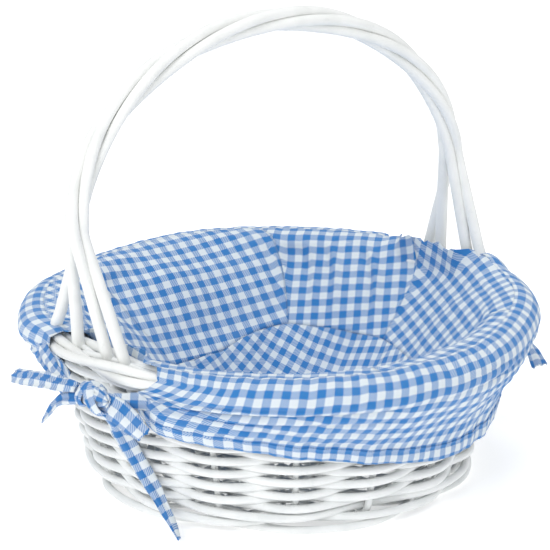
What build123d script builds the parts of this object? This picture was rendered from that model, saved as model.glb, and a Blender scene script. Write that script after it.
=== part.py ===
from build123d import *
import os
from math import atan, cos, radians, sin, sqrt, tan

# Round willow picnic basket with a roped arch handle and a tied gingham liner.
# Millimetres. +Z is up, the floor is Z = 0, the handle's arch lies in the XZ plane,
# and the origin is under the basket's centre.

# Willow
stake_count = 16
stake_first = 11.25
stake_diameter = 4.7
stake_leg_start = 106
stake_bend_radius = 8
stake_top = 113
weaver_diameter = 4.8
row_count = 17
row_first = 19.4
row_pitch = 5
row_corner_radius = 14
row_inward = 0.6
play = 0.3

# Basket wall: radius of the stakes' circle, which grows with height
base_level = 7.2
wall_foot_radius = 124
wall_slope = 0.27
wall_tilt = cos(atan(wall_slope))

# Base
slit_stick_diameter = 6.6
through_stick_diameter = 4.0
slit_height = 4.1
slit_half_length = 13.5
stick_fan_radius = 19.5
stick_end_radius = 121
stick_turn = -3.2
base_weaver_diameter = 3.2
base_row_first = 31
base_row_pitch = 6
base_row_count = 12
base_rows_inner = 5
base_edge_radius = 112

# Waling around the foot
wale_diameter = 5.6
wale_levels = (2.6, 8.3, 14.0)

# Border
border_diameter = 5.6
border_outer_radius = 160
border_inner_radius = 144
border_level = 109

# Handle
handle_rod_diameter = 6.4
handle_rod_spacing = 7.8
handle_half_span = 157
handle_rise = 120
handle_centre_level = 191
handle_lean = 16
handle_turns = 1.5
handle_steps = 12
handle_seat_radius = 152
handle_seat_level = 112
handle_tip_level = 67
handle_tip_diameter = 3.4
handle_heel_diameter = 6.9
handle_fan_angles = (15, 5, -5, -15)
handle_bundle_angles = (135, 45, 315, 225)

# Liner
cloth = 1.6
liner_rim_radius = 139.5
liner_rim_level = 110
liner_seam_radius = 95
liner_seam_level = 66
liner_bottom_radius = 44
liner_bottom_level = 18
flap_start = -160
flap_arc = 140
flap_outline = [
    (139.5, 111),
    (139.5, 115.8),
    (166, 119),
    (171, 105),
    (168.5, 92),
    (147, 54),
    (143.8, 30),
]
flap_radii = [4, 6, 8, 14, 30]
hem_level = 61.3
hem_slope_x = -0.138
hem_slope_y = 0.094
hem_width = 10

# Ties
tie_width = 11.5
tie_cloth = 1.5
knot_centre = (-172.5, -27, 97)
knot_size = (13, 34, 17)
long_tail = ((-175, -2, 86), (-139, -73.5, 3.5))
short_tail = ((-172, -44, 87), (-161.5, -59, 63))
loose_ear = ((-178, -8, 98), (-186, 46, 92))
loose_curl = ((-180, 4, 82), (-183, 27, 68))

parts_folder = "parts"
os.makedirs(parts_folder, exist_ok=True)


def save(piece, node):
    """Label a finished piece and write it as its own node."""
    piece.part.label = node
    export_step(piece.part, f"{parts_folder}/{node}.step")


def wall_radius(level):
    """Radius of the circle that the stakes stand on at a height."""
    return wall_foot_radius + wall_slope * (level - base_level)


def on_circle(radius, angle, level):
    """Point at a radius, polar angle in degrees and height."""
    return (radius * cos(radians(angle)), radius * sin(radians(angle)), level)


def upright_plane(angle):
    """Vertical plane through the Z axis: X runs out along the angle, Y runs up."""
    out = (cos(radians(angle)), sin(radians(angle)), 0)
    side = (sin(radians(angle)), -cos(radians(angle)), 0)
    return Plane(origin=(0, 0, 0), x_dir=out, z_dir=side)


def rod(points, radii, diameter, closed=False):
    """Round rod along straight runs joined by tangent arcs."""
    with BuildPart() as piece:
        with BuildLine():
            path = FilletPolyline(*points, radius=radii, close=closed)
        with BuildSketch(Plane(origin=path @ 0, z_dir=path % 0)):
            Circle(diameter / 2)
        sweep()
    return piece


def ring(radius, level, diameter, keep_above=None):
    """Plain round ring, trimmed flat underneath where a level is given."""
    with BuildPart() as piece:
        with BuildSketch(Plane.XZ):
            with Locations((radius, level)):
                Circle(diameter / 2)
        revolve(axis=Axis.Z)
        if keep_above is not None:
            split(bisect_by=Plane.XY.offset(keep_above), keep=Keep.TOP)
    return piece


def base_sticks(diameter, turn, slit):
    """Four parallel sticks that fan out to eight spokes, slit in the middle or whole."""
    frame = Plane.XY.offset(base_level).rotated((0, 0, turn))
    with BuildPart() as piece:
        for angle in (-33.75, -11.25, 11.25, 33.75):
            side = stick_fan_radius * sin(radians(angle))
            bend = stick_fan_radius * cos(radians(angle))
            end_x = stick_end_radius * cos(radians(angle))
            end_y = stick_end_radius * sin(radians(angle))
            outline = [(-end_x, end_y), (-bend, side), (bend, side), (end_x, end_y)]
            with BuildLine(frame):
                path = FilletPolyline(*outline, radius=12)
            with BuildSketch(Plane(origin=path @ 0, z_dir=path % 0)):
                Circle(diameter / 2)
            sweep()
        if slit:
            with BuildSketch(frame):
                Rectangle(2 * slit_half_length, 3 * stick_fan_radius)
            extrude(amount=slit_height / 2, both=True, mode=Mode.SUBTRACT)
    return piece


def ring_pairs(radii, level, rise, diameter):
    """Rings in pairs, one over the other, at each radius."""
    with BuildPart() as piece:
        for radius in radii:
            add(ring(radius, level - rise, diameter).part)
            add(ring(radius, level + rise, diameter).part)
    return piece


def side_stake(angle):
    """Stake with a leg under the base, bent up to follow the wall."""
    outline = [
        (stake_leg_start, base_level),
        (wall_foot_radius, base_level),
        (wall_radius(stake_top), stake_top),
    ]
    with BuildPart() as piece:
        with BuildLine(upright_plane(angle)):
            path = FilletPolyline(*outline, radius=stake_bend_radius)
        with BuildSketch(Plane(origin=path @ 0, z_dir=path % 0)):
            Circle(stake_diameter / 2)
        sweep()
    return piece


def side_row(row):
    """Wall weaver that passes in front of one stake and behind the next."""
    level = row_first + row * row_pitch
    offset = (stake_diameter + weaver_diameter) / 2 / wall_tilt + play
    half_pitch = radians(360 / stake_count)
    corner_depth = row_corner_radius * (1 / cos(half_pitch) - 1)
    front = wall_radius(level) + offset + corner_depth
    behind = min(wall_radius(level) - offset, front * cos(half_pitch) - row_inward)
    points = []
    for stake in range(stake_count):
        radius = front if (stake + row) % 2 == 0 else behind
        angle = stake_first + stake * 360 / stake_count
        points.append(on_circle(radius, angle, level))
    return rod(points, row_corner_radius, weaver_diameter, closed=True)


def bundle_point(step, rod_index):
    """Centre of one handle rod where the roped bundle passes a step of the arch."""
    travel = step / handle_steps
    angle = radians(180 - 180 * travel)
    out_x = cos(angle) / handle_half_span
    out_z = sin(angle) / handle_rise
    size = sqrt(out_x**2 + out_z**2)
    twist = radians(handle_bundle_angles[rod_index] + 360 * handle_turns * travel)
    reach = handle_rod_spacing / sqrt(2)
    outward = reach * cos(twist)
    x = handle_half_span * cos(angle) + outward * out_x / size
    z = handle_centre_level + handle_rise * sin(angle) + outward * out_z / size
    lean = handle_lean * (z - handle_seat_level) / (handle_centre_level + handle_rise - handle_seat_level)
    return (x - lean, reach * sin(twist), z)


def foot_points(end, rod_index):
    """Seat in the border and tip in the weave of one rod; end is -1 or 1 along X."""
    fan = handle_fan_angles[rod_index]
    angle = 180 - fan if end < 0 else -fan
    seat = on_circle(handle_seat_radius, angle, handle_seat_level)
    tip = on_circle(wall_radius(handle_tip_level), angle, handle_tip_level)
    return seat, tip


def handle_rod(rod_index):
    """One of four rods, roped over the arch and fanned out into the border at both ends."""
    arch = [bundle_point(step, rod_index) for step in range(handle_steps + 1)]
    left_seat, left_tip = foot_points(-1, rod_index)
    right_seat, right_tip = foot_points(1, rod_index)
    points = [left_seat, *arch, right_seat]
    radii = []
    for before, corner, after in zip(points, points[1:], points[2:]):
        run_in = Vector(*corner) - Vector(*before)
        run_out = Vector(*after) - Vector(*corner)
        half_turn = radians(run_in.get_angle(run_out)) / 2
        radii.append(0.42 * min(run_in.length, run_out.length) / tan(half_turn))
    with BuildPart() as piece:
        add(rod(points, radii, handle_rod_diameter).part)
        for seat, tip in ((left_seat, left_tip), (right_seat, right_tip)):
            down = Vector(*tip) - Vector(*seat)
            with BuildSketch(Plane(origin=seat, z_dir=down)):
                Circle(handle_rod_diameter / 2)
            with BuildSketch(Plane(origin=tip, z_dir=down)):
                Circle(handle_tip_diameter / 2)
            loft()
            with Locations(seat):
                Sphere(handle_heel_diameter / 2)
    return piece


def turned_cloth(*outline):
    """Cloth turned about Z, its upper face through an outline that runs down and inwards."""
    with BuildPart() as piece:
        with BuildSketch(Plane.XZ):
            with BuildLine():
                Polyline(*outline)
                offset(amount=cloth, side=Side.RIGHT)
            make_face()
        revolve(axis=Axis.Z)
    return piece


def liner_wall():
    """Cloth wall that hangs from the rim down to the seam around the liner's bottom panel."""
    rim = (liner_rim_radius, liner_rim_level)
    bend = (liner_rim_radius - 2, liner_rim_level - 6)
    return turned_cloth(rim, bend, (liner_seam_radius + play, liner_seam_level))


def liner_floor():
    """Round bottom panel, pulled up around its edge into a dish by the short wall."""
    seam = (liner_seam_radius, liner_seam_level)
    return turned_cloth(seam, (liner_bottom_radius, liner_bottom_level), (0, liner_bottom_level))


def hem_plane(lift, turn):
    """Sloping plane that a flap's lower edge follows, raised by a distance."""
    normal = Vector(-hem_slope_x, -hem_slope_y, 1).normalized()
    foot = Vector(0, 0, hem_level) + normal * lift
    return Plane(origin=foot.rotate(Axis.Z, turn), z_dir=normal.rotate(Axis.Z, turn))


def flap_sheet(turn):
    """Half-round sheet folded out over the border, hanging down outside the wall."""
    with BuildPart() as piece:
        with BuildSketch(upright_plane(flap_start + turn)):
            with BuildLine():
                FilletPolyline(*flap_outline, radius=flap_radii)
                offset(amount=cloth, side=Side.LEFT)
            make_face()
        revolve(axis=Axis.Z, revolution_arc=flap_arc)
    return piece


def flap(turn):
    """The flap above its hem."""
    with BuildPart() as piece:
        add(flap_sheet(turn).part)
        split(bisect_by=hem_plane(hem_width, turn), keep=Keep.TOP)
    return piece


def hem(turn):
    """The turned hem along the flap's lower edge."""
    with BuildPart() as piece:
        add(flap_sheet(turn).part)
        split(bisect_by=hem_plane(hem_width, turn), keep=Keep.BOTTOM)
        split(bisect_by=hem_plane(0, turn), keep=Keep.TOP)
    return piece


def knot(turn):
    """Knot in the tie, outside the border beside the handle."""
    length_x, length_y, length_z = knot_size
    place = Plane.XY.rotated((0, 0, turn))
    with BuildPart(place) as piece:
        with Locations(knot_centre):
            Box(length_x, length_y, length_z)
        fillet(piece.edges(), radius=5)
    return piece


def strip(turn, *ends):
    """Flat strips of tie cloth, each from one end point to another, facing outwards."""
    with BuildPart() as piece:
        for start, end in ends:
            first = Vector(*start).rotate(Axis.Z, turn)
            last = Vector(*end).rotate(Axis.Z, turn)
            along = last - first
            middle = (first + last) * 0.5
            outwards = Vector(middle.X, middle.Y, 0)
            across = along.cross(outwards)
            with BuildSketch(Plane(origin=middle, x_dir=along, z_dir=across.cross(along) * -1)):
                Rectangle(along.length, tie_width)
            extrude(amount=tie_cloth / 2, both=True)
    return piece


save(base_sticks(slit_stick_diameter, stick_turn, True), "base_slit_sticks")
save(base_sticks(through_stick_diameter, stick_turn + 90, False), "base_through_sticks")

base_rise = (slit_stick_diameter + base_weaver_diameter) / 2 + play
base_radii = [base_row_first + row * base_row_pitch for row in range(base_row_count)]
base_bands = (
    ("base_weave_inner", base_radii[:base_rows_inner]),
    ("base_weave_outer", [*base_radii[base_rows_inner:], base_edge_radius]),
)
for band_name, band_radii in base_bands:
    save(ring_pairs(band_radii, base_level, base_rise, base_weaver_diameter), band_name)

for number in range(stake_count):
    save(side_stake(stake_first + number * 360 / stake_count), f"side_stake_{number + 1:02d}")

wale_offset = (stake_diameter + wale_diameter) / 2 / wall_tilt + play
for number, wale_level in enumerate(wale_levels):
    floor_cut = 0 if number == 0 else None
    wale = ring(wall_radius(wale_level) + wale_offset, wale_level, wale_diameter, floor_cut)
    save(wale, f"foot_wale_{number + 1}")

for number in range(row_count):
    save(side_row(number), f"side_weave_{number + 1:02d}")

for side_name, border_radius in (("outer", border_outer_radius), ("inner", border_inner_radius)):
    border = ring_pairs([border_radius], border_level, border_diameter / 2 + play / 2, border_diameter)
    save(border, f"border_{side_name}_pair")

for number in range(len(handle_fan_angles)):
    save(handle_rod(number), f"handle_rod_{number + 1}")

save(liner_wall(), "liner_wall")
save(liner_floor(), "liner_floor")

for flap_name, flap_turn in (("front", 0), ("back", 180)):
    save(flap(flap_turn), f"{flap_name}_flap")
    save(hem(flap_turn), f"{flap_name}_hem")

for end_name, end_turn in (("left", 0), ("right", 180)):
    save(knot(end_turn), f"{end_name}_tie_knot")
    save(strip(end_turn, long_tail), f"{end_name}_tie_long_tail")
    save(strip(end_turn, short_tail), f"{end_name}_tie_short_tail")
    save(strip(end_turn, loose_ear, loose_curl), f"{end_name}_tie_ears")
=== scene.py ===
from math import atan2, cos, degrees, hypot, pi, radians, sin, sqrt

import bpy
import numpy as np
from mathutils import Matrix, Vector, noise


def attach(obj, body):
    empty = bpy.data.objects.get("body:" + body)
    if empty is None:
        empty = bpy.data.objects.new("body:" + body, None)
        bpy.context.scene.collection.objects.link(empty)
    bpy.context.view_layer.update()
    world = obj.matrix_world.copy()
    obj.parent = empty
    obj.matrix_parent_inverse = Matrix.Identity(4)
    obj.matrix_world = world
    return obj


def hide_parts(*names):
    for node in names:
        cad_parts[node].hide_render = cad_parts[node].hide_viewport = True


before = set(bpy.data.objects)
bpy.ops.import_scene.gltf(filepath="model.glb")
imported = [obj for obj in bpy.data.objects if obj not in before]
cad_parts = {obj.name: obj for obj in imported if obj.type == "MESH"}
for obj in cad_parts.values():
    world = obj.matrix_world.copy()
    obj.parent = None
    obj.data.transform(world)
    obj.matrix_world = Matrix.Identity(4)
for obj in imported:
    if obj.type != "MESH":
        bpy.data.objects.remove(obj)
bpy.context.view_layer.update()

# Round willow picnic basket with a roped arch handle and a tied gingham liner.
# Metres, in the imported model's frame: Z is up and the handle's arch lies in the XZ plane.
# Angles round the basket are polar: the handle's feet are near 0 and 180 degrees, and the front is at -90.
MM = 0.001

# Willow, after the part's layout. The radii of the rods are up to 0.4 mm off the part's.
STAKES = 16
STAKE_FIRST = radians(11.25)
STAKE_PITCH = 2 * pi / STAKES
STAKE_RADIUS = 2.35 * MM
STAKE_TOE = 106 * MM
STAKE_TIP = ((0.12, 105), (0.4, 110.2), (0.8, 112.2), (1.3, 111.2), (1.75, 108.5))  # pitches onward, height
WALL_FOOT = 124 * MM
WALL_SLOPE = 0.27
BASE_LEVEL = 7.2 * MM
ROWS = 17
ROW_FIRST = 19.4 * MM
ROW_PITCH = 5 * MM
WEAVER_RADIUS = 2.75 * MM
WALE_RADIUS = 2.7 * MM
WALE_LEVELS = (2.75 * MM, 8.2 * MM, 13.7 * MM)
BORDER_LEVEL = 109 * MM
BORDER_OUTER = 160 * MM
BORDER_INNER = 144 * MM
BORDER_ROD = 3.2 * MM
BORDER_TWISTS = 6
BASE_ROD = 1.6 * MM
SLIT_STICK = 3.3 * MM
THROUGH_STICK = 2 * MM
BASE_TURN = radians(-3.2)
BASE_INNER_ROWS = 5
BASE_RADII = [(31 + 6 * row) * MM for row in range(12)] + [102 * MM, 108 * MM, 114 * MM]
CUT_REACH = 0.3  # how far the domed cut of a rod stands out, in radii
CUT_RADIUS = 0.75  # and how wide it is

# Handle: the part's arch, with the rods' feet and thickness closer to the photo's.
# The seats are where the rods meet the border, at angles in degrees.
HANDLE_SPAN = 157 * MM
HANDLE_RISE = 120 * MM
HANDLE_CENTRE = 191 * MM
HANDLE_LEAN = 16 * MM
HANDLE_TURNS = 1.5
HANDLE_SPACING = 7.2 * MM
HANDLE_SEATS = (157 * MM, 152 * MM, 152 * MM, 152 * MM)
HANDLE_SEAT_LEVEL = 112 * MM
HANDLE_TIP_LEVEL = 72 * MM
HANDLE_LEFT = (161.5, 172.5, 185.5, 191.5)
HANDLE_RIGHT = (-13, -9, 4, 9)
HANDLE_BUNDLE = (135, 45, 315, 225)
HANDLE_ROD = 3.65 * MM
HANDLE_ROD_SWELL = 0.35 * MM  # how much thicker the rods are near their feet

# Cloth: its thickness, and the pitch of its checks, of the twill between them and of its yarns
CLOTH = 0.7 * MM
CHECK = 5.3 * MM
TWILL = CHECK / 3.4
YARN = 0.55 * MM
FLOOR_GRAIN = radians(20)
KNOT_CENTRE = (-171.5, -25, 95)  # at the left, in millimetres


def wall_radius(level):
    """Radius of the circle that the stakes stand on at a height."""
    return WALL_FOOT + WALL_SLOPE * (level - BASE_LEVEL)


def ripple(x, y, seed):
    """Smooth noise between about -1 and 1."""
    return noise.noise(Vector((x, y, seed * 7.31))) * 1.6


def smooth(low, high, x):
    """Zero below low, one above high and an S curve between."""
    t = np.clip((x - low) / (high - low), 0, 1)
    return t * t * (3 - 2 * t)


def bell(x, width):
    """Gaussian bump of height one around zero."""
    return np.exp(-(x / width) ** 2)


def polar(radius, angle, level):
    """Point at a radius from the basket's axis, an angle in radians and a height."""
    return np.array((radius * cos(angle), radius * sin(angle), level))


# ---------------------------------------------------------------- meshes


class Shape:
    """Gathers vertices, faces and UVs, and makes one object of them."""

    def __init__(self):
        self.points, self.faces, self.uvs = [], [], []

    def grid(self, points, uvs, wrap=False):
        """Adds a sheet of points[row][column], closed across its columns when wrap is set.
        The UVs are given for every point, with one more column when wrap is set."""
        rows, columns = len(points), len(points[0])
        base = len(self.points)
        self.points += [tuple(p) for row in points for p in row]
        for i in range(rows - 1):
            for j in range(columns if wrap else columns - 1):
                k = (j + 1) % columns
                corners = ((i, j, j), (i, k, j + 1), (i + 1, k, j + 1), (i + 1, j, j))
                self.faces.append([base + r * columns + c for r, c, _ in corners])
                self.uvs += [tuple(uvs[r][c]) for r, _, c in corners]
        return base

    def fan(self, ring, centre, uv):
        """Closes a ring of vertices with triangles to a centre point."""
        tip = len(self.points)
        self.points.append(tuple(centre))
        for a, b in zip(ring, ring[1:] + ring[:1]):
            self.faces.append([a, b, tip])
            self.uvs += [uv, uv, uv]

    def tube(self, path, radii, sides=10, closed=False):
        """Round rod along a path, with a domed cut at each end unless it is closed."""
        path, radii = np.asarray(path, float), np.asarray(radii, float)
        if closed:
            along = np.roll(path, -1, 0) - np.roll(path, 1, 0)
        else:
            along = np.gradient(path, axis=0)
        along /= np.linalg.norm(along, axis=1)[:, None]
        up = np.cross(along[0], (0, 0, 1))
        if np.linalg.norm(up) < 0.3:
            up = np.cross(along[0], (0, 1, 0))
        ups = []
        for step in along:
            up = up - step * np.dot(up, step)
            up /= np.linalg.norm(up)
            ups.append(up)
        ups = np.array(ups)
        if closed:
            back = ups[0] - along[0] * np.dot(ups[0], along[0])
            end = ups[-1] - along[0] * np.dot(ups[-1], along[0])
            turn = atan2(np.dot(np.cross(end, back), along[0]), np.dot(end, back))
            twist = np.linspace(0, turn, len(path))
            sides_now = np.cross(along, ups)
            ups = ups * np.cos(twist)[:, None] + sides_now * np.sin(twist)[:, None]
        others = np.cross(along, ups)
        length = np.concatenate([[0], np.cumsum(np.linalg.norm(np.diff(path, axis=0), axis=1))])
        if closed:
            path = np.vstack([path, path[:1]])
            ups, others = np.vstack([ups, ups[:1]]), np.vstack([others, others[:1]])
            radii = np.append(radii, radii[0])
            length = np.append(length, length[-1] + np.linalg.norm(path[-1] - path[-2]))
        else:
            reach, far_reach = radii[0] * CUT_REACH, radii[-1] * CUT_REACH
            path = np.vstack([path[:1] - along[:1] * reach, path, path[-1:] + along[-1:] * far_reach])
            ups = np.vstack([ups[:1], ups, ups[-1:]])
            others = np.vstack([others[:1], others, others[-1:]])
            length = np.concatenate([[length[0] - reach], length, [length[-1] + far_reach]])
            radii = np.concatenate([[radii[0] * CUT_RADIUS], radii, [radii[-1] * CUT_RADIUS]])
        spin = np.linspace(0, 2 * pi, sides, endpoint=False)
        rows = [p + r * (np.cos(spin)[:, None] * u + np.sin(spin)[:, None] * v)
                for p, r, u, v in zip(path, radii, ups, others)]
        around = 2 * pi * float(np.mean(radii)) / sides
        uvs = [[(s, around * k) for k in range(sides + 1)] for s in length]
        if closed:
            base = self.grid(rows[:-1], uvs[:-1], wrap=True)
            last = base + (len(rows) - 2) * sides
            for k in range(sides):
                m = (k + 1) % sides
                self.faces.append([last + k, last + m, base + m, base + k])
                self.uvs += [uvs[-2][k], uvs[-2][k + 1], uvs[-1][k + 1], uvs[-1][k]]
        else:
            base = self.grid(rows, uvs, wrap=True)
            last = base + (len(rows) - 1) * sides
            self.fan([base + k for k in reversed(range(sides))], path[0], uvs[0][0])
            self.fan([last + k for k in range(sides)], path[-1], uvs[-1][0])

    def object(self, name, material, thickness=0):
        """The finished piece, with cloth thickness where it is asked for."""
        mesh = bpy.data.meshes.new(name)
        mesh.from_pydata(self.points, [], self.faces)
        layer = mesh.uv_layers.new(name="UVMap")
        layer.data.foreach_set("uv", np.array(self.uvs, np.float32).ravel())
        mesh.polygons.foreach_set("use_smooth", [True] * len(mesh.polygons))
        mesh.materials.append(material)
        mesh.validate()
        piece = bpy.data.objects.new(name, mesh)
        bpy.context.scene.collection.objects.link(piece)
        if thickness:
            solid = piece.modifiers.new("cloth", "SOLIDIFY")
            solid.thickness = thickness
            solid.offset = 0
        return piece


def install(piece, slot, *nodes):
    """Rides on the basket and stands for CAD nodes, which it hides. The slot is not used."""
    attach(piece, "root")
    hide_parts(*nodes)
    return piece


def curve_through(points, steps, closed=False):
    """Catmull-Rom curve through points, with the same number of steps in every span."""
    points = np.asarray(points, float)
    count = len(points)
    if closed:
        at = lambda i: points[i % count]
        spans = count
    else:
        first, last = 2 * points[0] - points[1], 2 * points[-1] - points[-2]
        at = lambda i: first if i < 0 else last if i >= count else points[i]
        spans = count - 1
    out = []
    for i in range(spans):
        a, b, c, d = at(i - 1), at(i), at(i + 1), at(i + 2)
        for step in range(steps):
            t = step / steps
            out.append(0.5 * (2 * b + (c - a) * t + (2 * a - 5 * b + 4 * c - d) * t * t
                              + (3 * b - a - 3 * c + d) * t ** 3))
    if not closed:
        out.append(points[-1])
    return np.array(out)


# ---------------------------------------------------------------- materials


class Nodes:
    """Short names for building a material's node tree."""

    def __init__(self, name):
        self.material = bpy.data.materials.new(name)
        self.material.use_nodes = True
        self.tree = self.material.node_tree
        self.shader = self.tree.nodes["Principled BSDF"]

    def add(self, kind, **settings):
        node = self.tree.nodes.new(kind)
        for key, value in settings.items():
            setattr(node, key, value)
        return node

    def put(self, value, socket):
        if hasattr(value, "is_linked"):
            self.tree.links.new(value, socket)
        else:
            socket.default_value = value

    def math(self, operation, *values):
        node = self.add("ShaderNodeMath", operation=operation)
        for value, socket in zip(values, node.inputs):
            self.put(value, socket)
        return node.outputs[0]

    def mix(self, factor, first, second):
        node = self.add("ShaderNodeMix", data_type="RGBA")
        for value, socket in zip((factor, first, second), (node.inputs[0], node.inputs[6], node.inputs[7])):
            self.put(value, socket)
        return node.outputs[2]

    def noise(self, vector, scale, detail):
        node = self.add("ShaderNodeTexNoise")
        self.tree.links.new(vector, node.inputs["Vector"])
        node.inputs["Scale"].default_value = scale
        node.inputs["Detail"].default_value = detail
        return node.outputs["Fac"]

    def ramp(self, value, low, high):
        node = self.add("ShaderNodeMapRange", interpolation_type="SMOOTHSTEP")
        self.put(value, node.inputs["Value"])
        node.inputs["From Min"].default_value = low
        node.inputs["From Max"].default_value = high
        return node.outputs["Result"]

    def bump(self, height, strength, distance):
        node = self.add("ShaderNodeBump")
        node.inputs["Strength"].default_value = strength
        node.inputs["Distance"].default_value = distance
        self.tree.links.new(height, node.inputs["Height"])
        self.tree.links.new(node.outputs["Normal"], self.shader.inputs["Normal"])


def willow_material(name, light, dark, roughness):
    """White paint over peeled willow: long grain, small knots and thin paint in patches."""
    made = Nodes(name)
    uv = made.add("ShaderNodeUVMap", uv_map="UVMap").outputs[0]
    place = made.add("ShaderNodeTexCoord").outputs["Object"]
    stretch = made.add("ShaderNodeMapping")
    stretch.inputs["Scale"].default_value = (60, 900, 1)
    made.tree.links.new(uv, stretch.inputs["Vector"])
    grain = made.noise(stretch.outputs[0], scale=1, detail=4)
    patches = made.noise(place, scale=55, detail=3)
    knots = made.ramp(made.noise(place, scale=210, detail=2), 0.66, 0.74)
    shade = made.math("MULTIPLY", made.ramp(patches, 0.35, 0.75), 0.6)
    shade = made.math("ADD", shade, made.math("MULTIPLY", made.ramp(grain, 0.5, 0.8), 0.3))
    shade = made.math("ADD", shade, made.math("MULTIPLY", knots, 0.3))
    made.put(made.mix(shade, light, dark), made.shader.inputs["Base Color"])
    made.put(made.math("ADD", roughness, made.math("MULTIPLY", grain, 0.22)), made.shader.inputs["Roughness"])
    height = made.math("ADD", made.math("MULTIPLY", grain, 0.6), made.math("MULTIPLY", patches, 0.8))
    made.bump(made.math("ADD", height, made.math("MULTIPLY", knots, 0.5)), strength=0.35, distance=0.6 * MM)
    made.shader.inputs["Specular IOR Level"].default_value = 0.45
    return made.material


def gingham_material(name, blue, white):
    """Yarn-dyed check: blue where both yarns are blue, white where both are white, and a
    diagonal twill of the two where they cross. UVs are the cloth's own metres."""
    made = Nodes(name)
    uv = made.add("ShaderNodeUVMap", uv_map="UVMap").outputs[0]
    place = made.add("ShaderNodeTexCoord").outputs["Object"]
    wobble = made.add("ShaderNodeTexNoise")
    wobble.inputs["Scale"].default_value = 260
    wobble.inputs["Detail"].default_value = 1
    made.tree.links.new(place, wobble.inputs["Vector"])
    shift = made.add("ShaderNodeVectorMath", operation="MULTIPLY_ADD")
    made.tree.links.new(wobble.outputs["Color"], shift.inputs[0])
    shift.inputs[1].default_value = (0.5 * MM, 0.5 * MM, 0)
    made.tree.links.new(uv, shift.inputs[2])
    parts = made.add("ShaderNodeSeparateXYZ")
    made.tree.links.new(shift.outputs[0], parts.inputs[0])
    across, along = parts.outputs[0], parts.outputs[1]

    def stripe(value):
        phase = made.math("PINGPONG", made.math("DIVIDE", value, CHECK), 1)
        return made.ramp(phase, 0.46, 0.54)

    warp, weft = stripe(across), stripe(along)
    both = made.math("MULTIPLY", warp, weft)
    either = made.math("MAXIMUM", warp, weft)
    single = made.math("SUBTRACT", either, both)
    diagonal = made.math("DIVIDE", made.math("ADD", across, along), TWILL)
    twill = made.ramp(made.math("PINGPONG", diagonal, 0.5), 0.12, 0.38)
    crossed = made.math("ADD", 0.31, made.math("MULTIPLY", twill, 0.55))
    level = made.math("ADD", both, made.math("MULTIPLY", single, crossed))
    wear = made.math("ADD", 0.9, made.math("MULTIPLY", made.noise(place, scale=40, detail=2), 0.2))
    made.put(made.mix(made.math("MULTIPLY", level, wear), white, blue), made.shader.inputs["Base Color"])
    threads = made.math("MULTIPLY",
                        made.math("SINE", made.math("MULTIPLY", across, 2 * pi / YARN)),
                        made.math("SINE", made.math("MULTIPLY", along, 2 * pi / YARN)))
    fuzz = made.noise(place, scale=1800, detail=2)
    made.bump(made.math("ADD", made.math("MULTIPLY", threads, 0.5), fuzz), strength=0.5, distance=0.25 * MM)
    made.put(made.math("ADD", 0.78, made.math("MULTIPLY", fuzz, 0.2)), made.shader.inputs["Roughness"])
    made.shader.inputs["Sheen Weight"].default_value = 0.25
    made.shader.inputs["Sheen Roughness"].default_value = 0.5
    made.shader.inputs["Specular IOR Level"].default_value = 0.2
    return made.material


willow = willow_material("white_willow", (0.88, 0.89, 0.88, 1), (0.76, 0.785, 0.775, 1), roughness=0.42)
rod_paint = willow_material("white_rod", (0.87, 0.875, 0.855, 1), (0.76, 0.775, 0.75, 1), roughness=0.4)
cotton = gingham_material("gingham_cotton", (0.036, 0.205, 0.53, 1), (0.72, 0.78, 0.82, 1))
tie_cotton = gingham_material("gingham_tie", (0.034, 0.19, 0.50, 1), (0.74, 0.79, 0.82, 1))


# ---------------------------------------------------------------- willow


def weave_rod(shape, level_at, in_front, start, count, radius, seed, tuck=3.5 * MM):
    """One rod woven past a run of stakes. in_front(stake) says which side it passes, and
    level_at(stake) how high. Both ends are tucked in behind their stakes."""
    points = []
    clear = 1.02 * (STAKE_RADIUS + radius)
    for stake in range(start, start + count + 1):
        level = level_at(stake)
        offset = (clear if in_front(stake) else -clear) + 0.25 * MM * ripple(stake * 0.9, seed, 3)
        if stake in (start, start + count):
            offset -= tuck * (1 if stake == start + count else 0.2)
        height = level + 0.3 * MM * ripple(stake * 0.8, seed, 5)
        points.append(polar(wall_radius(level) + offset, STAKE_FIRST + stake * STAKE_PITCH, height))
    path = curve_through(points, steps=9)
    taper = np.linspace(1.07, 0.93, len(path))
    wobble = np.array([1 + 0.035 * ripple(i * 0.09, seed, 9) for i in range(len(path))])
    shape.tube(path, radius * taper * wobble, sides=12)


def side_row(row):
    """A row of the wall: two rods, each past half the stakes, in front of every other one."""
    shape = Shape()
    level = ROW_FIRST + row * ROW_PITCH
    front = lambda stake: (stake + row) % 2 == 0
    start = (5 * row) % STAKES
    if front(start):
        start += 1
    for half in (0, 1):
        weave_rod(shape, lambda stake: level, front, start + half * STAKES // 2, STAKES // 2,
                  WEAVER_RADIUS, row * 2 + half)
    return shape.object(f"weave_row_{row + 1:02d}", willow)


def foot_wale(number):
    """A round of waling: the rod passes in front of two stakes and behind one, on a slant."""
    shape = Shape()
    level = WALE_LEVELS[number]
    behind = [(3 * turn + number) % STAKES for turn in range(5)]
    front = lambda stake: stake % STAKES not in behind
    slant = 1.0 * MM if number else 0.25 * MM

    def level_at(stake):
        if not front(stake):
            return level
        return level + (slant if not front(stake - 1) else -slant)

    for half in (0, 1):
        start = behind[0] if half == 0 else behind[2]
        count = (behind[2] - behind[0]) % STAKES if half == 0 else (behind[0] - behind[2]) % STAKES
        weave_rod(shape, level_at, front, start, count, WALE_RADIUS, 60 + number * 2 + half, tuck=1 * MM)
    return shape.object(f"wale_{number + 1}", willow)


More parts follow.
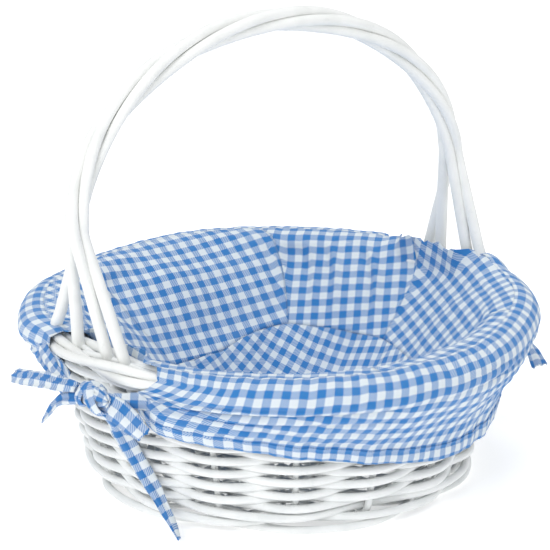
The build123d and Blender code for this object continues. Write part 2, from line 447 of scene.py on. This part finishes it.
def stake(number):
    """A stake: leg under the base, bend, wall, and a tip laid over into the border."""
    shape = Shape()
    angle = STAKE_FIRST + number * STAKE_PITCH
    points = [polar(radius, angle, BASE_LEVEL) for radius in np.linspace(STAKE_TOE, WALL_FOOT - 7 * MM, 3)]
    points.append(polar(WALL_FOOT - 1.8 * MM, angle, BASE_LEVEL + 1.8 * MM))
    for level in np.linspace(BASE_LEVEL + 7 * MM, 98 * MM, 8):
        drift = 0.0014 * ripple(number * 1.7, level * 9, 2)
        points.append(polar(wall_radius(level), angle + drift, level))
    channel = (BORDER_INNER + BORDER_OUTER) / 2
    for step, level in STAKE_TIP:
        radius = channel + 1.4 * MM * sin(step * 4 + number)
        points.append(polar(radius, angle + step * STAKE_PITCH, level * MM))
    path = curve_through(points, steps=5)
    shape.tube(path, np.linspace(1.03, 0.8, len(path)) * STAKE_RADIUS, sides=10)
    return shape.object(f"stake_{number + 1:02d}", willow)


def border_pair(name, radius, phase):
    """Two rods twisted round each other along the border."""
    shape = Shape()
    for strand in (0, 1):
        path, radii = [], []
        for angle in np.linspace(0, 2 * pi, 260, endpoint=False):
            turn = BORDER_TWISTS * angle + phase + strand * pi
            reach = BORDER_ROD * (1 + 0.05 * ripple(cos(angle) * 3, sin(angle) * 3, strand + phase))
            path.append(polar(radius + reach * cos(turn), angle, BORDER_LEVEL + reach * sin(turn)))
            radii.append(BORDER_ROD * (1 + 0.06 * ripple(cos(angle) * 5, sin(angle) * 5, strand + 8)))
        shape.tube(path, radii, sides=12, closed=True)
    return shape.object(name, rod_paint)


def base_band(name, rows):
    """Rounds of base weaving, each over one spoke and under the next."""
    shape = Shape()
    for row in rows:
        points = []
        for spoke in range(STAKES):
            stick = SLIT_STICK if spoke % 8 in (0, 1, 6, 7) else THROUGH_STICK
            rise = (stick + BASE_ROD) * (1 if (spoke + row) % 2 else -1)
            angle = STAKE_FIRST + BASE_TURN + spoke * STAKE_PITCH
            points.append(polar(BASE_RADII[row], angle, BASE_LEVEL + rise))
        path = curve_through(points, steps=7, closed=True)
        shape.tube(path, np.full(len(path), BASE_ROD * 1.02), sides=8, closed=True)
    return shape.object(name, willow)


def bundle_point(travel, rod):
    """Centre of one rod in the roped bundle, for travel from 0 at the left to 1 at the right."""
    angle = pi * (1 - travel)
    normal = np.array((cos(angle) / HANDLE_SPAN, 0, sin(angle) / HANDLE_RISE))
    normal /= np.linalg.norm(normal)
    turn = radians(HANDLE_BUNDLE[rod] + 360 * HANDLE_TURNS * travel)
    reach = HANDLE_SPACING / sqrt(2) * (1 + 0.06 * ripple(travel * 5, rod, 4))
    point = np.array((HANDLE_SPAN * cos(angle), 0, HANDLE_CENTRE + HANDLE_RISE * sin(angle)))
    point += normal * reach * cos(turn) + np.array((0, reach * sin(turn), 0))
    height = (point[2] - HANDLE_SEAT_LEVEL) / (HANDLE_CENTRE + HANDLE_RISE - HANDLE_SEAT_LEVEL)
    point[0] -= HANDLE_LEAN * height
    return point


def handle_rod(rod):
    """A rod roped over the arch and fanned out into the border at both ends."""
    shape = Shape()
    arch = [bundle_point(travel, rod) for travel in np.linspace(0, 1, 31)]
    ends = []
    for side in (-1, 1):
        angle = radians(HANDLE_LEFT[rod] if side < 0 else HANDLE_RIGHT[rod])
        seat = polar(HANDLE_SEATS[rod], angle, HANDLE_SEAT_LEVEL)
        tip = polar(wall_radius(HANDLE_TIP_LEVEL) - 1 * MM, angle, HANDLE_TIP_LEVEL)
        spring = arch[0] if side < 0 else arch[-1]
        high = seat * 0.35 + spring * 0.65
        low = seat * 0.75 + spring * 0.25
        ends.append([tip, seat * 0.5 + tip * 0.5, seat, low, high])
    path = curve_through([*ends[0], *arch, *reversed(ends[1])], steps=5)
    height = path[:, 2]
    radii = HANDLE_ROD + HANDLE_ROD_SWELL * (1 - smooth(130 * MM, 220 * MM, height))
    radii = radii * np.array([1 + 0.05 * ripple(i * 0.05, rod * 3, 6) for i in range(len(path))])
    radii = radii * (0.45 + 0.55 * smooth(HANDLE_TIP_LEVEL - 2 * MM, 105 * MM, height))
    shape.tube(path, radii, sides=14)
    return shape.object(f"handle_{rod + 1}", rod_paint)


for number in range(ROWS):
    install(side_row(number), "willow", f"side_weave_{number + 1:02d}")
for number in range(len(WALE_LEVELS)):
    install(foot_wale(number), "willow", f"foot_wale_{number + 1}")
for number in range(STAKES):
    install(stake(number), "willow", f"side_stake_{number + 1:02d}")
install(border_pair("border_outer", BORDER_OUTER, phase=0.4), "peeled_rod", "border_outer_pair")
install(border_pair("border_inner", BORDER_INNER, phase=1.9), "peeled_rod", "border_inner_pair")
install(base_band("base_inner", range(BASE_INNER_ROWS)), "willow", "base_weave_inner")
install(base_band("base_outer", range(BASE_INNER_ROWS, len(BASE_RADII))), "willow", "base_weave_outer")
for number in range(len(HANDLE_BUNDLE)):
    install(handle_rod(number), "peeled_rod", f"handle_rod_{number + 1}")
for node in ("base_slit_sticks", "base_through_sticks"):
    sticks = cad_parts[node]
    sticks.data.materials.clear()
    sticks.data.materials.append(willow)


# ---------------------------------------------------------------- cloth

# Tables here are in millimetres and degrees.
# Half widths of the notches at the handle, on the side of rising angles and on the other.
NOTCHES = (18, 12)
# Panels of the wall: the angles of their first edge at the top and at the seam, the same for their last edge,
# the angle they face, and their grain, or None where the weave runs on from the panel before.
PANELS = (
    ((57, 48.5), (121, 115), 92, -3),
    ((121, 115), (160, 160), 139, None),
    ((10, 3), (57, 48.5), 34, 8),
    ((-50, -46), (10, 3), -14, -10),
    ((-104, -104), (-50, -46), -76, 0),
    ((-160, -160), (-104, -104), -132, 0),
    ((160, 160), (200, 200), 180, 20),
)
# Creases down the wall: angle at the top and at the seam, height and width.
CREASES = (
    (58, 49.5, 3.8, 1.4), (47, 38, 3.0, 1.3), (42, 28, 3.6, 1.5), (33, 10, 3.8, 1.5), (9.5, 3.5, 3.6, 1.2),
    (97, 88, 1.8, 6), (128, 112, 3.2, 2.4), (144, 124, 3.0, 2.6), (178, 170, 1.8, 4),
    (-30, -22, 2.4, 5), (-75, -80, 2.4, 3), (-128, -120, 2.0, 5),
)
# Section of the wall from the border down to the seam, folded out over the border and in the notches.
WALL_OUT = (154, 148.6, 143.4, 138.6, 136.3, 131, 120, 107, 95, 83)
WALL_UP = (118.2, 117.5, 116.4, 112.6, 105.5, 98.5, 89, 77.5, 66, 54.3)
LIP_OUT = (138.9, 138.7, 138.6, 138.2, 136.3, 131, 120, 107, 95, 83)
LIP_UP = (120.0, 117.4, 114.0, 109.5, 104.5, 98.5, 89, 77.5, 66, 54.3)
WALL_DEPTH = 1.125  # the depth that the section's last point stands for
WALL_RUN = 136  # how much cloth a depth of 1 takes
PANEL_STEP = 1.2  # degrees from column to column
PANEL_ROWS = 45
NEAR_TOP = -9  # counted from the top row
# Section of the floor: distance along the cloth from the centre, with its radius and height.
DISH_RUN = (0, 36, 50, 62, 80, 114)
DISH_RADIUS = (0, 36, 48.5, 57.5, 70.5, 95)
DISH_LEVEL = (17.6, 17.8, 21.5, 29, 41.5, 66)


def angle_from(angle, centre):
    """Signed difference of two angles, in degrees."""
    return (degrees(angle) - centre + 180) % 360 - 180


def folded_out(angle):
    """1 where the cloth is folded out over the border, 0 in the notches at the handle."""
    off = min(angle_from(angle, 0), angle_from(angle, 180), key=abs)
    notch = NOTCHES[0] if off > 0 else NOTCHES[1]
    return float(smooth(notch - 4, notch, abs(off)))


def flatter(angle):
    """How far a flat panel lies inside the round wall, as a share of the radius."""
    for (_, start), (_, end), _, _ in PANELS:
        off = angle_from(angle, (start + end) / 2)
        half = (end - start) / 2
        if abs(off) <= half + 1e-6:
            return 1 - cos(radians(half)) / cos(radians(off))
    return 0


def window(angle, start, end, soft):
    """1 between two polar angles in degrees, falling off outside them."""
    off = abs(angle_from(angle, (start + end) / 2)) - (end - start) / 2
    return 1 - float(smooth(0, soft, off))


def crest_shift(angle):
    """How the cloth on top of the border stands out and up from its even section, in millimetres."""
    x, y = cos(angle), sin(angle)
    right, left = window(angle, -36, -6, 26), window(angle, 136, 158, 22)
    front, tuft = window(angle, -140, -80, 25), window(angle, -14, 15, 8)
    out = 3.5 * right + 5.5 * left
    up = 4.5 * right + 0.8 * left - 1.0 * front
    up += 0.6 * ripple(x * 5, y * 5, 12) + 0.35 * ripple(x * 16, y * 16, 13)
    up += tuft * (5.5 + 2.4 * ripple(x * 9, y * 22, 15)) + 0.4 * ripple(x * 34, y * 34, 14)
    return out, up


def bowl_point(angle, depth):
    """Point of the bowl's wall: depth 0 on top of the border, 1 or a little more at the floor's seam."""
    at = np.linspace(0, WALL_DEPTH, len(WALL_OUT))
    out = folded_out(angle)
    radius = np.interp(depth, at, WALL_OUT) * out + np.interp(depth, at, LIP_OUT) * (1 - out)
    level = np.interp(depth, at, WALL_UP) * out + np.interp(depth, at, LIP_UP) * (1 - out)
    x, y = cos(angle), sin(angle)
    lift = 1.3 * ripple(x * 2.2, y * 2.2 + depth, 21) + 0.7 * ripple(x * 6, y * 6 + depth * 2, 22)
    lift += 0.25 * ripple(x * 22, y * 22 + depth * 5, 23)
    fade = sin(pi * min(1, max(0, depth)))
    for top, bottom, height, width in CREASES:
        away = angle_from(angle, top + (bottom - top) * depth) / width
        lift += height * fade * (bell(away, 1) - 0.6 * bell(away - 1.6, 0.8))
    lift *= smooth(0.3, 0.5, depth) * (1 - 0.7 * smooth(0.88, 1, depth))
    shift_out, edge = crest_shift(angle)
    radius += shift_out * (1 - smooth(0, 0.3, depth)) * out
    edge *= 1 - smooth(0, 0.35, depth)
    radius *= 1 - 0.75 * flatter(angle) * smooth(0.32, 0.62, depth) * (1 - 0.35 * smooth(0.7, 1, depth))
    return polar((radius - 0.7 * lift) * MM, angle, (level + 0.7 * lift + edge) * MM)


def seam_depth(angle):
    """Where the wall's panels meet the floor: deeper on the left of the back."""
    return 1 + 0.12 * window(angle, 92, 140, 42)


def wall_panel(shape, start, end, centre, grain, edge):
    """One panel of the wall. It unrolls flat about the chord that faces its centre, turned by its grain,
    or so that it runs on from the edge of the panel before. Returns its own far edge in the flat."""
    columns = int((end[1] - start[1]) / PANEL_STEP)
    rows = []
    for share in np.linspace(1, 0, PANEL_ROWS):
        first, last = np.interp(share, (0, 1), start), np.interp(share, (0, 1), end)
        angles = np.radians(np.linspace(first, last, columns))
        rows.append([bowl_point(a, share * seam_depth(a)) for a in angles])
    points = np.array(rows)
    middle = radians(centre)
    chord = np.array((-sin(middle), cos(middle), 0))
    foot, above = bowl_point(middle, 1), bowl_point(middle, 0.55)
    slope = (above - foot) / np.linalg.norm(above - foot)
    steps = np.diff(points, axis=0)
    sideways = steps @ chord
    rise = np.sqrt(np.maximum(0, (steps ** 2).sum(axis=2) - sideways ** 2))
    v = np.vstack([(points[:1] - foot) @ slope, rise]).cumsum(axis=0)
    u = points @ chord
    if grain is None:
        # Its first edge is laid along the edge of the panel before, from the seam to a row near the top.
        own = u[NEAR_TOP, 0] - u[0, 0], v[NEAR_TOP, 0] - v[0, 0]
        other = edge[NEAR_TOP] - edge[0]
        grain = atan2(other[1], other[0]) - atan2(own[1], own[0])
    else:
        grain = radians(grain)
    uvs = np.dstack([u * cos(grain) - v * sin(grain), u * sin(grain) + v * cos(grain)])
    if edge is not None:
        uvs += edge[0] - uvs[0, 0]
    shape.grid(points, uvs)
    return uvs[:, -1]


def liner_wall():
    """The bowl's wall in panels, each cut with its own grain."""
    shape = Shape()
    edge = None
    for panel in PANELS:
        edge = wall_panel(shape, *panel, edge)
    return shape.object("liner_bowl", cotton, CLOTH)


def liner_floor():
    """Round bottom panel, pulled up into a dish and pleated around its seam."""
    shape = Shape()
    angles = np.linspace(0, 2 * pi, 200, endpoint=False)
    seam = [bowl_point(a, seam_depth(a)) / MM for a in angles]
    runs = [DISH_RUN[-1] - WALL_RUN * (seam_depth(a) - 1) for a in angles]

    def dish(run):
        return np.interp(run, DISH_RUN, DISH_RADIUS), np.interp(run, DISH_RUN, DISH_LEVEL)

    points, uvs = [], []
    for share in np.linspace(0.004, 1, 46):
        row, flat = [], []
        slope = smooth(0.3, 0.75, share)
        for a, edge, full in zip(angles, seam, runs):
            x, y = cos(a), sin(a)
            (radius, level), (rim, rim_level) = dish(share * full), dish(full)
            radius *= 1 + (hypot(edge[0], edge[1]) / rim - 1) * share ** 2
            level += (edge[2] - rim_level) * share ** 2
            pleats = 1.1 * ripple(x * 7, y * 7, 41) * share + 0.8 * ripple(x * 2.4, y * 2.4 + share, 43)
            pleats += 0.6 * ripple(x * 15, y * 15 + share, 44) * smooth(0.6, 0.95, share)
            flat_part = 0.8 * ripple(x * share * 3, y * share * 3, 42) * (1 - slope) ** 2 + 0.8 * (1 - slope)
            lift = slope * pleats + flat_part
            lift *= 1 - 0.6 * smooth(0.93, 1, share)
            level += lift * (0.3 + 0.7 * slope)
            row.append(polar((radius - 0.7 * lift * slope) * MM, a, level * MM))
            run = share * full * MM
            flat.append((run * cos(a - FLOOR_GRAIN), run * sin(a - FLOOR_GRAIN)))
        points.append(row)
        uvs.append(flat + flat[:1])
    shape.grid(points, uvs, wrap=True)
    return shape.object("liner_floor", cotton, CLOTH)


# Section of a flap: radius and height, from the top of the border outwards and down.
FLAP_OUTLINE = ((154, 118.2), (158, 118.2), (162, 116.9), (166.4, 114.2), (170, 109.8), (171.8, 103.5),
                (170.6, 96), (166.6, 87.5), (161, 79), (155.5, 70.5), (151, 61.5), (147.8, 52), (146, 43),
                (145, 34))


def flap_profile():
    """Points along a flap's section in metres, with the distance along it."""
    line = curve_through(FLAP_OUTLINE, steps=8) * MM
    steps = np.linalg.norm(np.diff(line, axis=0), axis=1)
    return line, np.concatenate([[0], np.cumsum(steps)])


PROFILE, PROFILE_RUN = flap_profile()
FALLING = 30  # the section's point from which it only falls
HEM = 10 * MM
CREASE_LEVEL = 96.5 * MM
FLAP_FIRST = -160
FLAP_LAST = -20
FLAP_THROW = 162 * MM  # radius at which the cloth's length round the flap is measured
# Angles of the flap's two ends, by the distance from the top of the border.
END_RUNS = (0, 6, 14, 22, 30, 38)
FIRST_TURNS = (-158.5, -157, -155.5, -158, -163, -166)
LAST_TURNS = (-12, -12.5, -13.5, -14, -14, -13.5)
# Height of the lower edge, by angle.
HEM_TURNS = (-160, -158, -154, -143, -123, -101, -85, -62, -45, -32, -24, -20)
HEM_LEVELS = (92, 80, 75, 70.5, 62, 51, 43, 41, 44.5, 51, 60, 88)
# Radius that its ends are drawn in to, by height.
HUG_LEVELS = (80, 92, 99, 105)
HUG_RADII = (149, 153.5, 159.5, 165.8)
# Creases that fan out from the ties: slope in millimetres a degree, depth, width and height at the tie.
PULLS = ((0, 5.5, 2.2, 96.5), (0.08, 2.2, 1.3, 100.5), (-0.11, 3.4, 1.4, 93.5), (-0.24, 2.8, 1.6, 91.5),
         (-0.40, 2.2, 1.8, 89.5), (-0.6, 1.5, 2.2, 87))


def run_to(level):
    """How far down the flap a height is, from the top of the border."""
    return float(np.interp(level, PROFILE[FALLING:, 1][::-1], PROFILE_RUN[FALLING:][::-1]))


def flap_length(turn):
    """How far the cloth runs from the top of the border to the lower edge, at an angle in degrees."""
    return run_to(np.interp(turn, HEM_TURNS, HEM_LEVELS) * MM)


CREASE_RUN = run_to(CREASE_LEVEL)


def pulled(turn):
    """How strongly the tie at the nearer end gathers the cloth."""
    return float(1 - smooth(45, 100, min(turn - FLAP_FIRST, FLAP_LAST - turn)))


def section_at(run):
    """Radius and height of the flap's section, run metres from the top of the border."""
    return np.array([np.interp(run, PROFILE_RUN, PROFILE[:, k]) for k in (0, 1)])


def pull_creases(turn, level, seed):
    """How far the creases at both ties push the cloth out, in millimetres."""
    bend = 0
    for off in (turn - FLAP_FIRST, FLAP_LAST - turn):
        near = smooth(-5, 7, off) * (1 - 0.55 * smooth(10, 40, off)) * (1 - smooth(40, 78, off))
        for slope, depth, width, start in PULLS:
            wander = 1.1 * ripple(off * 0.06, slope * 9, seed) if slope else 0
            bend -= near * depth * bell(level - (start + slope * off + wander), width)
        bend += near * 2.2 * bell(level - (88 - 0.2 * off), 5)
    return bend


def flap_point(across, run, half, lift=0.0):
    """Point of a flap: across 0 to 1 from its left end, run metres from the top of the border."""
    first, last = (float(np.interp(run / MM, END_RUNS, turns)) for turns in (FIRST_TURNS, LAST_TURNS))
    turn = FLAP_FIRST + (FLAP_LAST - FLAP_FIRST) * across
    turn += (first - FLAP_FIRST) * (1 - smooth(0, 0.2, across)) + (last - FLAP_LAST) * smooth(0.8, 1, across)
    radius, level = section_at(run)
    along = section_at(run + 0.4 * MM) - section_at(run - 0.4 * MM)
    along /= np.linalg.norm(along) + 1e-12
    seed = 50 + 20 * half
    angle = radians(turn) + (pi if half else 0)
    lower = smooth(20 * MM, 58 * MM, run)
    bend = 0.8 * ripple(turn * 0.05, run * 14, seed) + 0.3 * ripple(turn * 0.22, run * 40, seed + 1)
    slack = 1.2 * ripple(turn * 0.16, run * 6, seed + 2) + 0.5 * ripple(turn * 0.45, run * 9, seed + 3)
    bend += lower * (slack - 0.8 * bell(ripple(turn * 0.03, run * 20, seed + 6), 0.2))
    if run > 14 * MM:
        bend += pull_creases(turn, level / MM, seed + 5)
    stand = bend * MM * smooth(0, 14 * MM, run) + lift
    shift_out, shift_up = crest_shift(angle)
    end = 1 - smooth(0, 13, min(turn - first, last - turn))
    shift_out *= (1 - smooth(18 * MM, 45 * MM, run)) * (1 - end)
    shift_up *= 1 - smooth(4 * MM, 42 * MM, run)
    hug = end * (radius / MM - np.interp(level / MM, HUG_LEVELS, HUG_RADII))
    radius += (shift_out - max(0, hug)) * MM - along[1] * stand
    return polar(radius, angle, level + along[0] * stand + shift_up * MM)


def hem_puff(part, turn, seed):
    """How far the hem stands out over the flap, in millimetres, from its stitching to its fold."""
    puff = 0.55 + 0.5 * sin(pi * max(0, part)) - 0.6 * bell(part - 0.1, 0.05)
    return puff + 0.25 * ripple(turn * 0.9, part * 2, seed)


def walked(points):
    """Distance down each column of a sheet from its first row."""
    steps = np.linalg.norm(np.diff(points, axis=0), axis=2)
    return np.vstack([np.zeros(points.shape[1]), steps.cumsum(axis=0)])


def flap(half):
    """One flap, in a band over the border and a band under the crease, and its turned hem.
    Over the crease the weave follows the border, and under it the weave follows the hem."""
    side = "back" if half else "front"
    columns = np.linspace(0, 1, 260)
    turns = FLAP_FIRST + (FLAP_LAST - FLAP_FIRST) * columns
    lengths = np.array([flap_length(turn) for turn in turns])
    split = np.minimum(CREASE_RUN, lengths - HEM * 0.6)
    foot = np.maximum(split, lengths - HEM)

    def band(begin, finish, parts, lift=lambda part, turn: 0):
        places = list(zip(columns, turns, begin, finish))
        return np.array([[flap_point(across, high + (low - high) * part, half, lift(part, turn) * MM)
                          for across, turn, high, low in places] for part in parts])

    over = band(np.zeros(len(columns)), split, np.linspace(0, 1, 40))
    under = band(split, foot, np.linspace(0, 1, 60))
    hem_parts = (-0.12, -0.02, 0, 0.06, 0.14, 0.3, 0.5, 0.7, 0.88, 0.97, 1)
    turned_up = band(foot, lengths, hem_parts, lambda part, turn: hem_puff(part, turn, 77 + half))
    top = walked(over)
    low = walked(under) + top[-1]
    edge = walked(turned_up)
    edge = edge + low[-1] - edge[2]
    pull = np.array([pulled(turn) for turn in turns])
    gather = pull * (edge[-1, len(columns) // 2] - edge[-1])
    sheet, border = Shape(), Shape()
    bands = (sheet, over, top), (sheet, under, low + gather), (border, turned_up, edge + gather)
    for shape, points, v in bands:
        lean = np.minimum(v, edge[2] + gather)
        below = np.maximum(0, lean - top[-1] - gather)
        shape.grid(points, np.dstack([np.radians(turns) * FLAP_THROW + 0.2 * lean + 0.22 * below, v]))
    return sheet.object(f"{side}_flap", cotton, CLOTH), border.object(f"{side}_hem", cotton, CLOTH * 1.6)


def half_turn(half):
    """Signs that turn a point half round the basket, to the right-hand end."""
    return (-1, -1, 1) if half else (1, 1, 1)


def spread(values, at):
    """Values given at even steps along a strip, read at shares of its length."""
    return np.interp(at, np.linspace(0, 1, len(values)), values)


def ribbon(shape, half, points, widths, outward, cup=1.0, fray=0, seed=0, steps=8):
    """Strip of cloth along a line, turned half round for the right-hand end. Points, widths, cup (the rise of
    its middle) and fray are in millimetres, and outward gives the side that it shows, at even steps."""
    sign = half_turn(half)
    path = curve_through(np.multiply(points, sign) * MM, steps)
    at = np.linspace(0, 1, len(path))
    wide = spread(widths, at) * MM
    normals = np.column_stack([spread(part, at) for part in np.multiply(outward, sign).T])
    along = np.gradient(path, axis=0)
    along /= np.linalg.norm(along, axis=1)[:, None]
    length = np.concatenate([[0], np.cumsum(np.linalg.norm(np.diff(path, axis=0), axis=1))])
    rows, uvs = [], []
    for i in range(len(path)):
        side = np.cross(normals[i], along[i])
        side /= np.linalg.norm(side)
        out = np.cross(along[i], side) + side * 0.3 * ripple(length[i] * 28, 1, seed + 4)
        out /= np.linalg.norm(out)
        side = np.cross(out, along[i])
        row, flat = [], []
        for c in np.linspace(-1, 1, 11):
            bend = cup * MM * (1 - c * c) + 0.7 * MM * ripple(c * 1.3, length[i] * 90, seed)
            bend += 0.6 * MM * cos(c * 6 + 5 * ripple(length[i] * 20, 0, seed + 1))
            ragged = fray * MM * ripple(c * 9, 3, seed + 2) if i == len(path) - 1 else 0
            row.append(path[i] + side * c * wide[i] / 2 + out * bend + along[i] * ragged)
            flat.append((c * wide[i] / 2 + seed * 0.013, length[i]))
        rows.append(row)
        uvs.append(flat)
    shape.grid(rows, uvs)


def tie_tails(half):
    """Two tails and the ears of the tie at one end."""
    side = "right" if half else "left"
    long_tail, short_tail, ears = Shape(), Shape(), Shape()
    ribbon(long_tail, half,
           [(-172, -24, 95), (-166, -27, 88), (-158, -28.5, 78), (-149, -27, 62), (-142.5, -34, 44.5),
            (-137, -43, 28), (-135.5, -57, 13), (-139, -73, 3.4)],
           (9, 13, 13, 12, 11.5, 10, 6.5, 1.5),
           [(-1, -0.3, 0.4), (-1, -0.6, 0.2), (-0.9, -0.7, 0.3), (-1, -0.5, 0.3)],
           cup=1.4, seed=3 + half)
    ribbon(short_tail, half,
           [(-174, -24, 95), (-170.5, -34, 93.5), (-165.5, -44, 89), (-160, -52, 82), (-155, -59, 75)],
           (10, 14, 16, 16, 12),
           [(-0.8, -0.6, 0.6), (-0.8, -0.7, 0.3), (-0.9, -0.6, 0.1)],
           cup=2.2, fray=1.4, seed=5 + half)
    # Loose ear, which hangs at the right and stands out at the left
    if half:
        ribbon(ears, half,
               [(-177, -10, 97), (-184, 12, 86), (-187, 30, 70), (-187, 42, 58), (-185, 54, 51),
                (-181, 64, 46)],
               (8, 11, 11.5, 11, 11, 11),
               [(-1, 0.2, 0.6), (-0.5, 0.4, 0.8), (0.4, 0.25, 0.65)],
               cup=1.2, fray=1.5, seed=9)
    else:
        ribbon(ears, half,
               [(-177, -16, 99), (-181, -4, 98.5), (-184.5, 12, 97.5), (-185.5, 28, 94.5), (-185, 45, 91)],
               (8, 11, 12, 11.5, 10),
               [(-0.7, 0, 1), (-0.8, 0, 0.7), (-0.6, 0, 1)],
               cup=1.4, fray=1.6, seed=7)
    # Lower ear
    ribbon(ears, half,
           [(-175, -16, 92), (-180, -4, 88.5), (-183, 3, 82), (-183.5, 8, 75), (-182.5, 13, 69)],
           (8, 9, 10, 9, 7),
           [(-1, 0, 0.3), (-1, 0.3, 0.5), (-0.4, 0.2, 1)],
           cup=1.2, fray=1.4, seed=11 + half)
    # Neck to the flap on the far side of the handle
    ribbon(ears, half,
           [(-172, -15, 94), (-171, 3, 94), (-168.5, 19, 97), (-165, 36, 100.5), (-158, 53, 102.5)],
           (8, 9, 10, 12, 15),
           [(-1, 0, 0.1), (-1, 0.1, 0.1), (-0.95, 0.3, 0.2)],
           cup=1.8, seed=13 + half)
    return [(shape.object(f"{side}_{name}", tie_cotton, CLOTH * 1.5), f"tie_{name}")
            for shape, name in ((long_tail, "long_tail"), (short_tail, "short_tail"), (ears, "ears"))]


def tie_knot(half):
    """Knot: a gathered roll of cloth with two turns round it, and the neck to the flap on its near side."""
    side = "right" if half else "left"
    shape = Shape()
    sign = half_turn(half)
    centre = np.array(KNOT_CENTRE)
    rows, uvs = [], []
    for t in np.linspace(0, 1, 25):
        body = 0.8 + 6.4 * abs(sin(pi * t)) ** 0.5
        row, flat = [], []
        for a in np.linspace(0, 2 * pi, 49):
            pleat = 1 + 0.13 * sin(7 * a + 2.5 * t) + 0.07 * sin(11 * a - 4 * t)
            x, z = body * 0.72 * pleat * cos(a), body * 1.02 * pleat * sin(a) - 2.5 * (t - 0.5)
            row.append((centre + (x, 32.4 * t - 18, z)) * sign * MM)
            flat.append((a * 0.009, t * 0.036))
        rows.append(row[:-1])
        uvs.append(flat[:-1] + flat[:1])
    shape.grid(rows, uvs, wrap=True)
    turns = np.linspace(0, 2 * pi, 13)
    for shift, lean, seed in ((-6, 5.6, 21), (6, -4, 23)):
        loop = [centre + (6.2 * cos(a), shift + lean * sin(a), 7.6 * sin(a)) for a in turns]
        ribbon(shape, half, loop, (9, 10, 9, 10, 9), [(cos(a), 0, sin(a)) for a in turns], seed=seed, steps=4)
    ribbon(shape, half,
           [(-171.5, -28, 95), (-167.5, -35, 94.5), (-161, -42, 94.5), (-153, -49, 94.5), (-145, -56, 94)],
           (7, 8, 9, 11, 13),
           [(-1, -0.3, 0.2), (-0.95, -0.4, 0.2)],
           cup=2.4, seed=25)
    return shape.object(f"{side}_knot", tie_cotton, CLOTH)


wall_piece = install(liner_wall(), "gingham_cotton", "liner_wall")
floor_piece = install(liner_floor(), "gingham_cotton", "liner_floor")
for half, side in ((0, "front"), (1, "back")):
    cloth_piece, hem_piece = flap(half)
    install(cloth_piece, "gingham_cotton", f"{side}_flap")
    install(hem_piece, "gingham_cotton", f"{side}_hem")
for half, side in ((0, "left"), (1, "right")):
    install(tie_knot(half), "tie_cotton", f"{side}_tie_knot")
    for (piece, node), strip in zip(tie_tails(half), ((0.012, 0.125), (0.0155, 0.054), (0.0115, 0.2))):
        install(piece, "tie_cotton", f"{side}_{node}")


# ---------------------------------------------------------------- camera, light and floor


def look(location, target):
    """Rotation that points a camera or lamp at a target."""
    return (Vector(target) - Vector(location)).to_track_quat("-Z", "Y").to_euler()


def camera():
    """Long lens at the front left, a little above the rim."""
    azimuth, elevation, distance = radians(-38), radians(18.03), 1.9079
    centre = Vector((0, 0, 0.150))
    back = Vector((sin(azimuth) * cos(elevation), -cos(azimuth) * cos(elevation), sin(elevation)))
    right = Vector((cos(azimuth), sin(azimuth), 0))
    up = back.cross(right)
    data = bpy.data.cameras.new("camera")
    data.lens = 186.1
    data.sensor_width = 36
    eye = bpy.data.objects.new("camera", data)
    eye.location = centre + back * distance
    left_by, down_by = 3.8 * MM, 15.2 * MM
    aim = centre - right * left_by - up * down_by
    eye.rotation_euler = look(eye.location, aim)
    bpy.context.scene.collection.objects.link(eye)
    bpy.context.scene.camera = eye


def lamp(name, location, power, size=1.6):
    """Round soft lamp that points at the basket."""
    data = bpy.data.lights.new(name, "AREA")
    data.shape = "DISK"
    data.size = size
    data.energy = power
    light = bpy.data.objects.new(name, data)
    light.location = location
    light.rotation_euler = look(location, (0, 0, 0.12))
    bpy.context.scene.collection.objects.link(light)


def studio():
    """Pale floor, soft lamps and a pale surround."""
    shape = Shape()
    reach = (-4, 4)
    shape.grid([[(x, y, 0) for x in reach] for y in reach], [[(0, 0), (1, 0)], [(0, 1), (1, 1)]])
    pale = Nodes("pale_floor")
    pale.shader.inputs["Base Color"].default_value = (0.9, 0.9, 0.9, 1)
    pale.shader.inputs["Roughness"].default_value = 0.9
    pale.shader.inputs["Emission Color"].default_value = (1, 1, 1, 1)
    pale.shader.inputs["Emission Strength"].default_value = 0.4
    shape.object("floor", pale.material)
    lamp("key", (-2.3, -0.9, 1.9), power=31)
    lamp("fill", (1.6, -1.6, 1.3), power=5)
    lamp("top", (0.1, 0.2, 2.5), power=20)
    world = bpy.data.worlds.new("surround")
    world.use_nodes = True
    tree = world.node_tree
    around, seen = tree.nodes["Background"], tree.nodes.new("ShaderNodeBackground")
    around.inputs["Color"].default_value = (0.95, 0.97, 1, 1)
    around.inputs["Strength"].default_value = 0.62
    seen.inputs["Color"].default_value = (1, 1, 1, 1)
    seen.inputs["Strength"].default_value = 1.1
    mix, rays = tree.nodes.new("ShaderNodeMixShader"), tree.nodes.new("ShaderNodeLightPath")
    tree.links.new(rays.outputs["Is Camera Ray"], mix.inputs[0])
    tree.links.new(around.outputs[0], mix.inputs[1])
    tree.links.new(seen.outputs[0], mix.inputs[2])
    tree.links.new(mix.outputs[0], tree.nodes["World Output"].inputs["Surface"])
    bpy.context.scene.world = world
    bpy.context.scene.view_settings.view_transform = "Standard"


camera()
studio()

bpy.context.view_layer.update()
